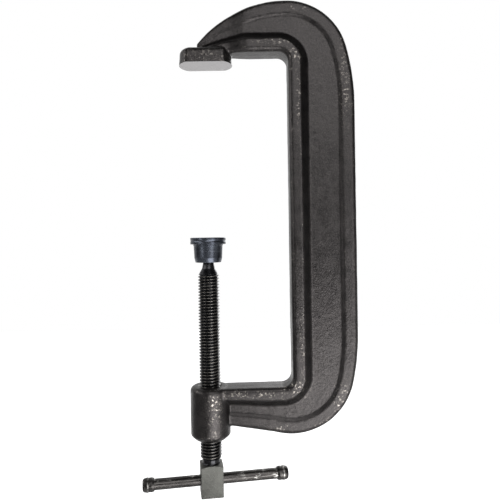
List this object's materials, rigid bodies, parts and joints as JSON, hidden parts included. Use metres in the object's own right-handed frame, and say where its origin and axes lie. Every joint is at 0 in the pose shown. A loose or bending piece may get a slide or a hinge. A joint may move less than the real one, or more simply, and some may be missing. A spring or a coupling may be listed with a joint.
{
  "type": "c clamp",
  "caption": "Heavy forged C clamp with an I-section frame, a threaded spindle, a tilting swivel pad and a sliding bar handle.",
  "frame": {"origin": "centre of the anvil's flat clamping face, on the spindle's axis", "axes": "+Z along the spindle towards the anvil, +X from the spindle towards the frame's spine, +Y across the frame's thickness"},
  "size_m": [0.2265, 0.0416, 0.5143],
  "materials": {
    "forged_black": "black forged skin with worn edges, semi-matt",
    "black_oxide": "oiled black oxide on cut threads",
    "blued_steel": "turned and blued",
    "spring_wire": "drawn wire",
    "bar_steel": "dark drawn bar with rubbed streaks",
    "cap_steel": "dark turned ends with rubbed spots"
  },
  "bodies": {
    "frame": {"frame": "forged_black"},
    "screw_carriage": {"retaining_ring": "spring_wire"},
    "spindle": {"spindle": "black_oxide"},
    "pad": {"swivel_pad": "blued_steel"},
    "handle": {"slide_bar": "bar_steel", "bar_cap_left": "cap_steel", "bar_cap_right": "cap_steel"}
  },
  "joints": [
    {"name": "spindle_travel", "type": "slide", "parent": "frame", "child": "screw_carriage", "axis": [0, 0, 1], "range_m": [-0.126, 0.0254]},
    {"name": "spindle_turn", "type": "hinge", "parent": "screw_carriage", "child": "spindle", "pos_m": [0, 0, -0.194], "axis": [0, 0, 1], "range_deg": [-14280, 2875]},
    {"name": "pad_tilt", "type": "hinge", "parent": "screw_carriage", "child": "pad", "pos_m": [0, 0, -0.194], "axis": [0, 1, 0], "range_deg": [-8, 8]},
    {"name": "bar_slide", "type": "slide", "parent": "spindle", "child": "handle", "axis": [0.9889, 0.1478, 0.0122], "range_m": [-0.0576, 0.0471]}
  ],
  "couplings": [
    {"joint": "spindle_travel", "follows": "spindle_turn", "m_per_rad": 0.00050532}
  ]
}
